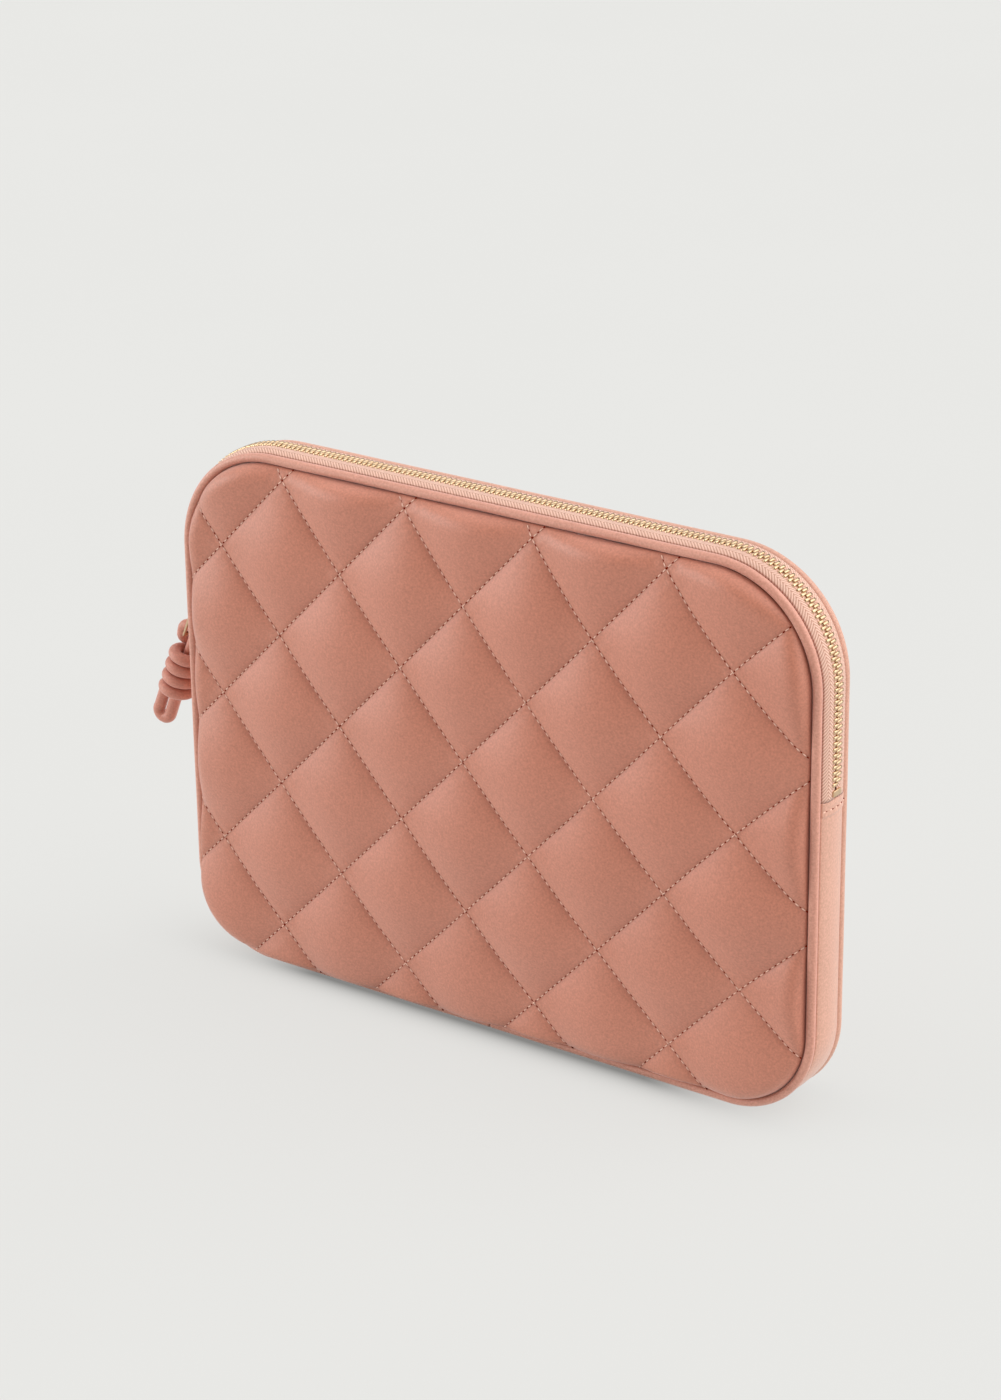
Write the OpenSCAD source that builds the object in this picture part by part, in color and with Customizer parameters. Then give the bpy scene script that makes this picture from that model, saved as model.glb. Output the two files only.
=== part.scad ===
// Quilted laptop sleeve that stands on its long bottom edge, with a zip round its upper half.
// Frame: origin on the floor under the middle of the sleeve, +X right, +Y to the back, +Z up.
// The middle line of the pipings is called the edge, and offsets are counted outwards from it.

/* [Sleeve] */
// Width over the pipings
sleeve_w = 350; // [300:1:420]
// Height over the piping, from the floor
sleeve_h = 260; // [230:1:320]
// Depth over both pipings at the edge
sleeve_edge = 27; // [22:0.5:40]
// Outside radius of the two top corners
corner_top = 54; // [40:1:70]
// Outside radius of the two bottom corners
corner_bottom = 44; // [30:1:70]

/* [Panels] */
// How far a panel stands out just inside its piping
edge_lift = 4.5; // [0:0.5:8]
// Width of the strip beside the piping where it rises that far
lift_w = 8; // [4:0.5:16]
// How far the middle of a panel stands out past that strip
crown = 4.5; // [2:0.5:14]
// Height of a quilted puff above its seams
puff = 3.5; // [1:0.1:6]
// Width of the strip where the puffs roll down to the piping
edge_roll = 13; // [6:1:24]
// Width of a quilted diamond
quilt_w = 72; // [50:1:100]
// Height of a quilted diamond
quilt_h = 75; // [50:1:100]
// Sideways place of a crossing of the quilting seams
quilt_x = -9; // [-40:1:40]
// Height of that crossing
quilt_z = 135; // [100:1:170]
// Narrowing of the diamonds towards the top, percent for each 100 mm
quilt_narrowing = 2.2; // [0:0.1:4]
// Thickness of the leather shell
shell_t = 1; // [0.6:0.1:1.6]
// Thickness of the wadding under a quilting seam
wadding_t = 0.9; // [0.6:0.1:2]
// Thickness of the panel lining
lining_t = 0.8; // [0.5:0.1:1.5]

/* [Piping] */
// Diameter of the piping
piping_d = 4.4; // [3.6:0.1:6]
// Wall of the leather sleeve round the piping cord
piping_wall = 0.7; // [0.4:0.1:1]
// How far the floor presses the bottom of the piping flat
piping_flat = 0.6; // [0.3:0.1:1]

/* [Gusset] */
// Thickness of the leather band
band_t = 1.4; // [0.8:0.1:2]
// Thickness of the stiffener behind the band
stiffener_t = 1.4; // [0.8:0.1:2]
// Thickness of the gusset lining
gusset_lining_t = 0.6; // [0.4:0.1:1]
// How far the band's sides bow out between the pipings
band_bow = 1.6; // [0:0.1:3]
// Drop from the top of the sleeve to the two ends of the zip
zip_drop = 104; // [85:1:115]
// Height of the folded hem at each end of the band
hem_h = 7; // [4:0.5:12]
// Extra thickness of that hem
hem_t = 0.5; // [0.3:0.1:1]

/* [Zip] */
// How far the middle of the tape lies outside the edge
zip_out = 3.1; // [2.6:0.1:4]
// How far the tape dips from the teeth to the piping
tape_dip = 2.1; // [1:0.1:2.4]
// Thickness of the tape
tape_t = 0.7; // [0.4:0.1:0.9]
// Width of the closed row of teeth
chain_w = 6.3; // [4.4:0.1:7]
// Distance between two teeth on one tape
tooth_pitch = 2.75; // [2.5:0.05:4]
// Thickness of a tooth along the zip
tooth_t = 1.2; // [0.8:0.05:1.2]
// Height of a tooth, square to the tape
tooth_h = 2.4; // [1.8:0.1:3]
// How far a tooth reaches past the middle of the zip
tooth_bite = 0.9; // [0.5:0.1:1.2]

/* [Slider] */
// Length of the slider along the zip
slider_l = 12; // [10:0.5:16]
// Thickness of each of the slider's plates
plate_t = 1; // [0.7:0.1:1.4]
// Length of the gap between a zip end and the closed slider
slider_rest = 5.5; // [4.5:0.5:9]
// Length of the window in the bail
bail_window_l = 2.5; // [2.1:0.1:3.5]
// Height of the window in the bail
bail_window_h = 3; // [2.4:0.1:4]
// Thickness of the bail
bail_t = 1.2; // [0.9:0.1:1.6]
// Width of the bail across the zip
bail_w = 2.6; // [2:0.1:3.5]

/* [Pull] */
// Diameter of the pull's leather cord
cord_d = 5.6; // [4:0.1:6]
// Diameter of the wire link that carries the cord
link_wire = 1.4; // [1:0.1:1.8]
// Number of turns in the knot
knot_turns = 4; // [3:1:5]
// Free gap between two turns of the knot
wrap_gap = 0.5; // [0.45:0.05:1]
// Lean of the hanging pull away from the sleeve, in degrees
pull_lean = 22; // [16:1:30]
// Drop from the link's pivot to the top of the knot
pull_drop = 17.8; // [17:0.1:26]
// Length of the strands between the knot and the link
strap_l = 7.8; // [7:0.1:11]
// Length of the loop under the knot
tail_l = 20; // [14:0.5:26]
// Gap between the knot and the sleeve's side
pull_gap = 0.5; // [0.4:0.1:2]

/* [Fold] */
// Rise from the zip's ends to the line where the front panel folds open
fold_rise = 19.5; // [18:0.5:26]
// Length of tape above the fold that stays behind with the sleeve
fold_free = 14; // [13:0.5:20]

/* [Hidden] */

$fn = 48;
leather = [0.77, 0.52, 0.44];
piping_leather = [0.80, 0.56, 0.48];
woven = [0.88, 0.68, 0.60];
cloth = [0.74, 0.55, 0.49];
white_wadding = [0.93, 0.92, 0.90];
board = [0.55, 0.50, 0.46];
pale_gold = [0.86, 0.74, 0.52];

// Clearances: between two layers, between a panel and its piping, and between sliding pieces.
layer_gap = 0.1;
seat_gap = 0.05;
run_gap = 0.3;
reach = sleeve_w + sleeve_h;

// The edge: the rounded rectangle that the middle of each piping follows.
piping_r = piping_d / 2;
edge_w = sleeve_w - piping_d;
edge_top = sleeve_h - piping_r;
edge_low = piping_r - piping_flat;
edge_h = edge_top - edge_low;
edge_mid = (edge_top + edge_low) / 2;
top_r = corner_top - piping_r;
bottom_r = corner_bottom - piping_r;
seam_y = sleeve_edge / 2 - piping_r;
side_z = [edge_low + bottom_r, edge_top - top_r];

// The layers of a panel, counted inwards from the bottom of its quilting seams.
panel_out = -piping_r - seat_gap;
wadding_in = shell_t + layer_gap + wadding_t;
lining_out = wadding_in + seat_gap;
lining_in = lining_out + lining_t;

// The gusset lies between the pipings, its outside level with the floor at the bottom.
gusset_y = seam_y - piping_r - seat_gap;
gusset_lining_y = seam_y - lining_in - seat_gap;
band_out = edge_low;
band_in = band_out - band_t;
stiffener_in = band_in - stiffener_t;

// The zip line: up the left side, over the top and down the right side.
zip_start = sleeve_h - zip_drop;
zip_x = edge_w / 2 + zip_out;
zip_r = top_r + zip_out;
side_run = side_z[1] - zip_start;
corner_run = zip_r * PI / 2;
top_run = edge_w - 2 * top_r;
zip_len = 2 * side_run + 2 * corner_run + top_run;
tape_y = chain_w / 2;
fold_z = zip_start + fold_rise;
fold_s = fold_rise + fold_free;

// Where the slider stands when the zip is closed, and the pivot of its link.
slider_z = zip_start + slider_rest + slider_l / 2;
slider_s = slider_z - zip_start;
plate_in = tooth_h / 2 + run_gap;
plate_out = plate_in + plate_t;
link_r = link_wire / 2;
pivot_s = link_r + run_gap - bail_window_l / 2;
pivot = [-zip_x - plate_out - bail_window_h / 2, 0, slider_z + pivot_s];
link_y = cord_d / 2 + link_r + 2 * run_gap;

// The pull's cord, laid out along the knot's own axis.
cord_r = cord_d / 2;
bight_r = cord_r + link_r + layer_gap;
wrap_r = 2 * bight_r;
wrap_pitch = cord_d + wrap_gap;
down = [-sin(pull_lean), 0, -cos(pull_lean)];
outward = [-cos(pull_lean), 0, sin(pull_lean)];
sideways = [0, 1, 0];
wrap_first = cord_r + wrap_gap;
turn_in = cord_d;
turn_in_deg = turn_in / wrap_r * 180 / PI;
wrap_last = wrap_first + wrap_pitch * (knot_turns - 2 * turn_in_deg / 360);
knot_side = edge_w / 2 + band_out + band_bow + hem_t + pull_gap;
knot_top = [
    -knot_side - (wrap_r + cord_r) * cos(pull_lean) + wrap_first * sin(pull_lean),
    0,
    pivot[2] - pull_drop
];
tail_s = wrap_last + tail_l - bight_r;
core_s = (wrap_first + wrap_last) / 2;
core_gap = 0.6 * cord_d;
link_low = knot_top - strap_l * down + bight_r * outward;

// Outline and gusset helpers, drawn with the page's up as Z.

module outline(out) {
    half = edge_w / 2 + out;
    low = edge_low - out;
    high = edge_top + out;
    rt = top_r + out;
    rb = bottom_r + out;
    translate([-half, low + rb]) square([2 * half, high - rt - low - rb]);
    translate([rb - half, low]) square([2 * (half - rb), 2 * rb]);
    translate([rt - half, high - 2 * rt]) square([2 * (half - rt), 2 * rt]);
    for (side = [-1, 1]) {
        translate([side * (half - rb), low + rb]) circle(rb);
        translate([side * (half - rt), high - rt]) circle(rt);
    }
}

module ring(outer, inner) {
    difference() {
        outline(outer);
        outline(inner);
    }
}

module between(low, high) {
    translate([-reach, low]) square([2 * reach, high - low]);
}

module slab(front, back) {
    translate([0, back, 0])
        rotate([90, 0, 0])
            linear_extrude(height = back - front)
                children();
}

module gusset_strip(outer, inner, low, high, front, back) {
    slab(front, back)
        intersection() {
            ring(outer, inner);
            between(low, high);
        }
}

// Quilted panels: a crowned surface with a puff in each diamond, worked out on a grid whose
// lines meet the quilting seams.

function edge_inset(x, z) =
    let (
        r = z > edge_mid ? top_r : bottom_r,
        qx = abs(x) - edge_w / 2 + r,
        qz = abs(z - edge_mid) - edge_h / 2 + r
    )
    r - norm([max(qx, 0), max(qz, 0)]) - min(max(qx, qz), 0);

// The lift begins under the piping, so that a panel's rim already stands out.
function dome(x, z) =
    let (
        inset = max(0, edge_inset(x, z) - piping_r),
        start = lift_w / 2,
        rise = min(1, (inset + start) / (lift_w + start))
    )
    edge_lift * sqrt(1 - pow(1 - rise, 2))
        + crown * max(0, 1 - pow(2 * x / edge_w, 2))
            * max(0, 1 - pow(2 * (z - edge_mid) / edge_h, 2));

function narrowing(z) = 1 - quilt_narrowing / 100 * (z - quilt_z) / 100;

function pillow(x, z) =
    let (
        across = (x - quilt_x) / quilt_w / narrowing(z),
        up = (z - quilt_z) / quilt_h,
        inset = max(0, edge_inset(x, z) - piping_r),
        roll = 1 - pow(1 - min(1, inset / edge_roll), 2),
        swell = abs(sin(180 * (across + up)) * sin(180 * (across - up)))
    )
    puff * roll * pow(swell, 0.6);

module crowned(cells, lift, quilted) {
    step_x = quilt_w / 2 / cells;
    step_z = quilt_h / 2 / cells;
    spare = 1.06 * edge_w / 2;
    i_low = floor((-spare - quilt_x) / step_x);
    i_high = ceil((spare - quilt_x) / step_x);
    j_low = floor((edge_low - quilt_z) / step_z);
    j_high = ceil((edge_top - quilt_z) / step_z);
    nx = i_high - i_low + 1;
    nz = j_high - j_low + 1;
    flat_points = [
        for (j = [j_low:j_high])
            for (i = [i_low:i_high])
                let (z = quilt_z + j * step_z)
                [quilt_x + i * step_x * narrowing(z), 0, z]
    ];
    raised = [
        for (p = flat_points)
            [p[0], -(seam_y + lift + dome(p[0], p[2]) + (quilted ? pillow(p[0], p[2]) : 0)), p[2]]
    ];
    count = nx * nz;
    top_faces = [
        for (j = [0:nz - 2])
            for (i = [0:nx - 2])
                let (
                    a = j * nx + i,
                    rising = (floor((i + i_low) / cells) + floor((j + j_low) / cells)) % 2 == 0
                )
                each (rising
                    ? [[a, a + nx, a + nx + 1], [a, a + nx + 1, a + 1]]
                    : [[a, a + nx, a + 1], [a + nx, a + nx + 1, a + 1]])
    ];
    rim = concat(
        [for (i = [0:nx - 2]) i],
        [for (j = [0:nz - 2]) j * nx + nx - 1],
        [for (i = [nx - 1:-1:1]) (nz - 1) * nx + i],
        [for (j = [nz - 1:-1:1]) j * nx]
    );
    walls = [
        for (k = [0:len(rim) - 1])
            let (a = rim[k], b = rim[(k + 1) % len(rim)])
            [a, b, b + count, a + count]
    ];
    base = [for (k = rim) k + count];
    polyhedron(concat(raised, flat_points), concat(top_faces, walls, [base]));
}

// One layer of a panel between two crowned surfaces, cut to the panel's outline.
module layer(low, high) {
    resize([edge_w + 2 * panel_out, 0, 0])
        intersection() {
            difference() {
                children(0);
                children(1);
            }
            slab(-reach, reach)
                intersection() {
                    outline(panel_out);
                    between(low, high);
                }
        }
}

module shell(low, high) {
    layer(low, high) {
        crowned(3, 0, true);
        crowned(2, -shell_t, true);
    }
}

module wadding(low, high) {
    layer(low, high) {
        crowned(2, -shell_t - layer_gap, true);
        crowned(1, -wadding_in, false);
    }
}

module lining(low, high) {
    layer(low, high) {
        crowned(1, -lining_out, false);
        crowned(1, -lining_in, false);
    }
}

module back_shell() {
    color(leather) mirror([0, 1, 0]) shell(0, sleeve_h);
}

module back_wadding() {
    color(white_wadding) mirror([0, 1, 0]) wadding(0, sleeve_h);
}

module back_lining() {
    color(cloth) mirror([0, 1, 0]) lining(0, sleeve_h);
}

module front_shell_lower() {
    color(leather) shell(0, fold_z);
}

module front_wadding_lower() {
    color(white_wadding) wadding(0, fold_z);
}

module front_lining_lower() {
    color(cloth) lining(0, fold_z);
}

module front_shell_upper() {
    color(leather) shell(fold_z, sleeve_h);
}

module front_wadding_upper() {
    color(white_wadding) wadding(fold_z, sleeve_h);
}

module front_lining_upper() {
    color(cloth) lining(fold_z, sleeve_h);
}

// Runs and bends along the edge, of a profile whose x points outwards and whose y points back.

module corner_bend(side, z, r, start) {
    translate([side * (edge_w / 2 - r), 0, z])
        rotate([-90, 0, 0])
            rotate([0, 0, -90 - start])
                rotate_extrude(angle = 90)
                    translate([r, 0])
                        children();
}

module side_runs(low, high) {
    for (side = [-1, 1])
        translate([side * edge_w / 2, 0, low])
            mirror([side < 0 ? 1 : 0, 0, 0])
                linear_extrude(height = high - low)
                    children();
}

module cross_run(z, half, up) {
    translate([up * half, 0, z])
        rotate([0, -90 * up, 0])
            linear_extrude(height = 2 * half)
                children();
}

module lower_bend() {
    cross_run(edge_low, edge_w / 2 - bottom_r, -1) children();
    corner_bend(-1, side_z[0], bottom_r, 180) children();
    corner_bend(1, side_z[0], bottom_r, 270) children();
}

module upper_bend() {
    cross_run(edge_top, edge_w / 2 - top_r, 1) children();
    corner_bend(-1, side_z[1], top_r, 90) children();
    corner_bend(1, side_z[1], top_r, 0) children();
}

// Pipings: a leather sleeve round a cord, along the edge.

module piping_profile() {
    difference() {
        circle(piping_r);
        circle(piping_r - piping_wall);
    }
}

module cord_profile() {
    circle(piping_r - piping_wall - seat_gap);
}

module on_floor() {
    difference() {
        children();
        translate([-reach / 2, -reach / 2, -reach]) cube(reach);
    }
}

module back_piping() {
    color(piping_leather)
        translate([0, seam_y, 0])
            on_floor() {
                lower_bend() piping_profile();
                side_runs(side_z[0], side_z[1]) piping_profile();
                upper_bend() piping_profile();
            }
}

module back_piping_cord() {
    color(white_wadding)
        translate([0, seam_y, 0]) {
            lower_bend() cord_profile();
            side_runs(side_z[0], side_z[1]) cord_profile();
            upper_bend() cord_profile();
        }
}

module front_piping_lower() {
    color(piping_leather)
        translate([0, -seam_y, 0])
            on_floor() {
                lower_bend() piping_profile();
                side_runs(side_z[0], fold_z) piping_profile();
            }
}

module front_piping_cord_lower() {
    color(white_wadding)
        translate([0, -seam_y, 0]) {
            lower_bend() cord_profile();
            side_runs(side_z[0], fold_z) cord_profile();
        }
}

module front_piping_upper() {
    color(piping_leather)
        translate([0, -seam_y, 0]) {
            side_runs(fold_z, side_z[1]) piping_profile();
            upper_bend() piping_profile();
        }
}

module front_piping_cord_upper() {
    color(white_wadding)
        translate([0, -seam_y, 0]) {
            side_runs(fold_z, side_z[1]) cord_profile();
            upper_bend() cord_profile();
        }
}

// Gusset: leather band with folded hems, stiffener and lining along the bottom and lower sides.

// A closed solid through rows of points, each row going round the one before it.
module skinned(rows) {
    n = len(rows[0]);
    skin = [
        for (k = [0:len(rows) - 2])
            for (q = [0:n - 1])
                let (a = k * n + q, b = k * n + (q + 1) % n)
                each [[a, a + n, b + n], [a, b + n, b]]
    ];
    last = (len(rows) - 1) * n;
    caps = [
        [for (q = [0:n - 1]) q],
        [for (q = [n - 1:-1:0]) last + q]
    ];
    polyhedron([for (row = rows) each row], concat(skin, caps));
}

// Where the right half of the band runs: place on the edge, turn from straight down, bow and fold.
band_half = concat(
    [for (a = [0:5:90])
        [edge_w / 2 - bottom_r * (1 - sin(a)), side_z[0] - bottom_r * cos(a), a, band_bow * pow(a / 90, 2), 0]],
    [for (place = [[-hem_h - hem_t, 0], [-hem_h, hem_t], [0, hem_t]])
        [edge_w / 2, zip_start + place[0], 90, band_bow, place[1]]]
);

band_run = concat(
    [for (k = [len(band_half) - 1:-1:0])
        let (p = band_half[k])
        [-p[0], p[1], -p[2], p[3], p[4]]],
    band_half
);

function band_point(p, y, out) = [p[0] + out * sin(p[2]), y, p[1] - out * cos(p[2])];

module gusset_band() {
    inside = band_in + layer_gap;
    color(piping_leather)
        skinned([
            for (p = band_run)
                concat(
                    [for (k = [-1:0.25:1])
                        band_point(p, k * gusset_y, band_out + p[3] * (1 - k * k) + p[4])],
                    [for (k = [1, -1]) band_point(p, k * gusset_y, inside)]
                )
        ]);
}

module gusset_stiffener() {
    color(board) gusset_strip(band_in, stiffener_in, 0, zip_start, -gusset_y, gusset_y);
}

module gusset_lining() {
    half = gusset_lining_y;
    color(cloth)
        gusset_strip(stiffener_in, stiffener_in - gusset_lining_t, 0, zip_start, -half, half);
}

// Zip: two tapes and two rows of teeth.

// One tape across: level beside the teeth and under the slider, then down to the piping.
module tape_profile(facing) {
    level_y = slider_front + run_gap;
    line = [
        [zip_out, tape_y],
        [zip_out, level_y],
        [zip_out - tape_dip / 3, (level_y + gusset_y) / 2],
        [zip_out - tape_dip, gusset_y]
    ];
    polygon(concat(
        [for (p = line) [p[0] + tape_t / 2, facing * p[1]]],
        [for (k = [len(line) - 1:-1:0]) [line[k][0] - tape_t / 2, facing * line[k][1]]]
    ));
}

module whole_tape(low, facing) {
    side_runs(low, side_z[1]) tape_profile(facing);
    upper_bend() tape_profile(facing);
}

// The point at distance s along the zip line from its left end, and the turn of the zip there.
function on_zip(s) =
    s < side_run
        ? [-zip_x, zip_start + s, -90]
        : s < side_run + corner_run
            ? let (a = (s - side_run) / corner_run * 90 - 90)
                [top_r - edge_w / 2 + zip_r * sin(a), side_z[1] + zip_r * cos(a), a]
            : s < side_run + corner_run + top_run
                ? [s - side_run - corner_run - top_run / 2, edge_top + zip_out, 0]
                : s < zip_len - side_run
                    ? let (a = (s - side_run - corner_run - top_run) / corner_run * 90)
                        [edge_w / 2 - top_r + zip_r * sin(a), side_z[1] + zip_r * cos(a), a]
                    : [zip_x, zip_start + zip_len - s, 90];

module at_zip(s) {
    place = on_zip(s);
    translate([place[0], 0, place[1]])
        rotate([0, place[2], 0])
            children();
}

module tooth() {
    half = tooth_t / 2;
    tip = half - 0.2 * tooth_t;
    linear_extrude(height = tooth_h, center = true)
        polygon([
            [-half, -tape_y], [half, -tape_y], [half, 0],
            [tip, tooth_bite], [-tip, tooth_bite], [-half, 0]
        ]);
}

// The teeth of one tape between two distances along the zip. The first tooth is in the slider.
module teeth(from, to, offset, facing) {
    first = slider_s + tooth_t + offset;
    for (s = [first + ceil((from - first) / tooth_pitch) * tooth_pitch : tooth_pitch : to])
        at_zip(s)
            mirror([0, facing, 0])
                tooth();
}

stop_l = tooth_pitch;
last_s = zip_len - stop_l - tooth_pitch;
run_s = max(side_run + tooth_pitch / 2, fold_s + 3 * tooth_pitch);

module zip_tape_back() {
    color(woven) whole_tape(zip_start, 1);
}

module zip_tape_front_ends() {
    color(woven) side_runs(zip_start, fold_z + fold_free) tape_profile(-1);
}

module zip_tape_front() {
    color(woven) whole_tape(fold_z + fold_free, -1);
}

module zip_teeth_back() {
    color(pale_gold) teeth(run_s, last_s, tooth_pitch / 2, 1);
}

module zip_teeth_back_left_run() {
    color(pale_gold) teeth(slider_s, run_s, tooth_pitch / 2, 1);
}

module zip_teeth_front_left_end() {
    color(pale_gold) teeth(slider_s, fold_s, 0, 0);
}

module zip_teeth_front_left_run() {
    color(pale_gold) teeth(fold_s + tooth_t, run_s, 0, 0);
}

module zip_teeth_front() {
    color(pale_gold) teeth(run_s, zip_len - fold_s - tooth_t, 0, 0);
}

module zip_teeth_front_right_end() {
    color(pale_gold) teeth(zip_len - fold_s, last_s, 0, 0);
}

module zip_top_stops() {
    color(pale_gold)
        for (facing = [0, 1])
            at_zip(slider_rest - stop_l / 2 - run_gap)
                mirror([0, facing, 0])
                    translate([-stop_l / 2, -tape_y, -tooth_h / 2])
                        cube([stop_l, tooth_t, tooth_h]);
}

module zip_bottom_stop() {
    color(pale_gold)
        at_zip(zip_len - stop_l)
            translate([-stop_l / 2, -tape_y, -tooth_h / 2])
                cube([stop_l, chain_w, tooth_h]);
}

// Slider: two plates with side flanges, a post between them, and a bail for the link.

slider_rear = chain_w / 2 + run_gap + plate_t;
slider_front = slider_rear + plate_t;
slot = tape_t / 2 + run_gap;

module slider_outline(inset) {
    half = slider_l / 2;
    rear = slider_rear - inset;
    front = slider_front - inset;
    polygon([[-half, -front], [half, -rear], [half, rear], [-half, front]]);
}

module slider_body() {
    post_l = slider_l / 3;
    post_start = 0.04 * slider_l - slider_l / 2;
    color(pale_gold)
        at_zip(slider_s) {
            for (face = [0, 1])
                mirror([0, 0, face]) {
                    translate([0, 0, plate_in])
                        linear_extrude(height = plate_t)
                            slider_outline(0);
                    translate([0, 0, slot])
                        linear_extrude(height = plate_in - slot)
                            difference() {
                                slider_outline(0);
                                slider_outline(plate_t);
                            }
                }
            linear_extrude(height = 2 * plate_in, center = true)
                polygon([
                    [post_start, -tooth_t / 2], [post_start + post_l / 2, -tooth_t],
                    [post_start + post_l, 0],
                    [post_start + post_l / 2, tooth_t], [post_start, tooth_t / 2]
                ]);
        }
}

module slider_bail() {
    half = bail_window_l / 2;
    high = bail_window_h + bail_t;
    color(pale_gold)
        at_zip(slider_s)
            translate([0, bail_w / 2, plate_out])
                rotate([90, 0, 0])
                    linear_extrude(height = bail_w)
                        difference() {
                            polygon([
                                [-half - bail_t, 0], [half + bail_t, 0],
                                [half + bail_t, bail_window_h], [half, high],
                                [-half, high], [-half - bail_t, bail_window_h]
                            ]);
                            translate([-half, 0]) square([bail_window_l, bail_window_h]);
                        }
}

// Pull: a wire link in the bail, and a leather cord tied round itself.

link_span = link_low - pivot;
link_bend = 1.5 * link_r;

module link_corner(side, along, start) {
    translate([side * (link_y - link_bend), along, 0])
        rotate([0, 0, start])
            rotate_extrude(angle = 90)
                translate([link_bend, 0])
                    circle(link_r);
}

module pull_link() {
    long = norm(link_span);
    color(pale_gold)
        translate(pivot)
            rotate([0, atan2(link_span[0], link_span[2]), 0])
                rotate([90, 0, 90]) {
                    for (along = [0, long])
                        translate([link_bend - link_y, along, 0])
                            rotate([0, 90, 0])
                                cylinder(r = link_r, h = 2 * (link_y - link_bend));
                    for (side = [-1, 1])
                        translate([side * link_y, link_bend, 0])
                            rotate([-90, 0, 0])
                                cylinder(r = link_r, h = long - 2 * link_bend);
                    link_corner(-1, link_bend, 180);
                    link_corner(1, link_bend, 270);
                    link_corner(-1, long - link_bend, 90);
                    link_corner(1, long - link_bend, 0);
                }
}

// A point of the cord at s along the knot's axis, r from it and turned by the angle a.
function in_knot(s, r, a) = knot_top + s * down + r * (cos(a) * outward + sin(a) * sideways);

function run(a, b, n) = [for (k = [1:n]) a + (b - a) * k / n];

ring_deg = 15;
wrap_end_deg = 360 * knot_turns - turn_in_deg;
cord_path = concat(
    [in_knot(core_s - core_gap, 0, 0)],
    [for (s = run(core_s - core_gap, -strap_l, 4)) in_knot(s, 0, 0)],
    [for (a = [ring_deg:ring_deg:180]) in_knot(-strap_l - bight_r * sin(a), bight_r * (1 - cos(a)), 0)],
    [for (s = run(-strap_l, wrap_first - turn_in, 2)) in_knot(s, wrap_r, 0)],
    [for (a = [ring_deg:ring_deg:90])
        in_knot(wrap_first - turn_in * (1 - sin(a)), wrap_r, turn_in_deg * (1 - cos(a)))],
    [for (a = run(turn_in_deg, wrap_end_deg, 24 * knot_turns))
        in_knot(wrap_first + wrap_pitch * (a - turn_in_deg) / 360, wrap_r, a)],
    [for (a = [ring_deg:ring_deg:90])
        in_knot(wrap_last + turn_in * (1 - cos(a)), wrap_r, wrap_end_deg + turn_in_deg * sin(a))],
    [for (s = run(wrap_last + turn_in, tail_s, 3)) in_knot(s, wrap_r, 0)],
    [for (a = [ring_deg:ring_deg:180]) in_knot(tail_s + bight_r * sin(a), bight_r * (1 + cos(a)), 0)],
    [for (s = run(tail_s, core_s + core_gap, 4)) in_knot(s, 0, 0)]
);

function unit(v) = v / norm(v);

function tangent(path, k) = unit(path[min(k + 1, len(path) - 1)] - path[max(k - 1, 0)]);

// A normal for each point of a path, each one the last one turned as little as the path allows.
function normals(path, start) = [
    for (
        k = 0, n = start;
        k < len(path);
        k = k + 1,
        n = k < len(path) ? unit(n - (n * tangent(path, k)) * tangent(path, k)) : n
    )
        n
];

module tube(path, r, sides, start) {
    n = normals(path, start);
    skinned([
        for (k = [0:len(path) - 1])
            let (t = tangent(path, k), side = cross(t, n[k]))
            [for (q = [0:sides - 1])
                path[k] + r * (cos(360 * q / sides) * n[k] + sin(360 * q / sides) * side)]
    ]);
}

// The least free gap between stretches of the cord that aren't next to each other.
near_points = 14;
cord_gap = min([
    for (i = [0:len(cord_path) - 1 - near_points])
        for (j = [i + near_points:len(cord_path) - 1])
            norm(cord_path[i] - cord_path[j]) - cord_d
]);
echo(cord_gap = cord_gap);

module pull_cord() {
    color(leather) tube(cord_path, cord_r, 6, sideways);
}

back_shell();
back_wadding();
back_lining();
back_piping();
back_piping_cord();
front_shell_lower();
front_wadding_lower();
front_lining_lower();
front_piping_lower();
front_piping_cord_lower();
gusset_band();
gusset_stiffener();
gusset_lining();
zip_tape_back();
zip_tape_front_ends();
zip_teeth_back();
zip_teeth_back_left_run();
zip_teeth_front_left_end();
zip_teeth_front_right_end();
zip_top_stops();
zip_bottom_stop();
front_shell_upper();
front_wadding_upper();
front_lining_upper();
front_piping_upper();
front_piping_cord_upper();
zip_tape_front();
zip_teeth_front();
zip_teeth_front_left_run();
slider_body();
slider_bail();
pull_link();
pull_cord();
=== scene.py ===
# %% [markdown]
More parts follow.
